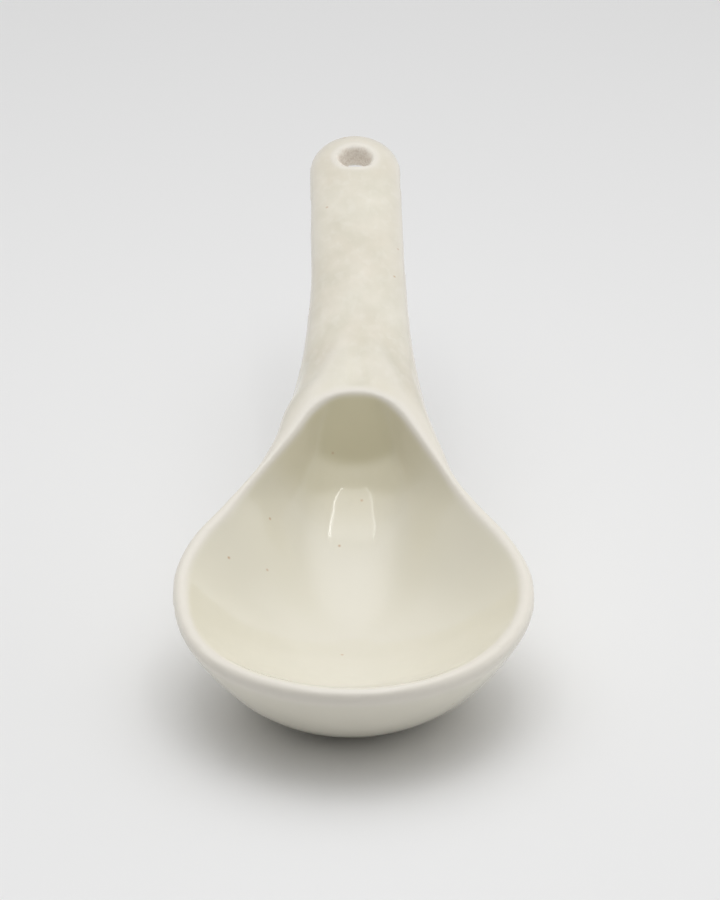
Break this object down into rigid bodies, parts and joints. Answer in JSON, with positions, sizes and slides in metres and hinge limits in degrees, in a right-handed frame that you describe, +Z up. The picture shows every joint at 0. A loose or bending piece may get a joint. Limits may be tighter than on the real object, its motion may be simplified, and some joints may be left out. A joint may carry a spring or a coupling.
{
  "type": "soup spoon",
  "caption": "Glazed stoneware soup spoon: a round bowl drawn out into a throat, a flat foot to stand on, and a slim raised handle pierced for hanging.",
  "frame": {"origin": "on the flat foot, where the bowl's axis meets the table", "axes": "+Z up, +Y from the bowl towards the handle, +X to the right when looking along the handle"},
  "size_m": [0.0484, 0.1284, 0.0408],
  "materials": {
    "cream_glaze": "glossy cream glaze with fine iron specks",
    "bare_clay": "unglazed fired clay"
  },
  "bodies": {
    "root": {"bowl": "cream_glaze", "handle": "cream_glaze", "slip_joint": "bare_clay"}
  },
  "joints": []
}
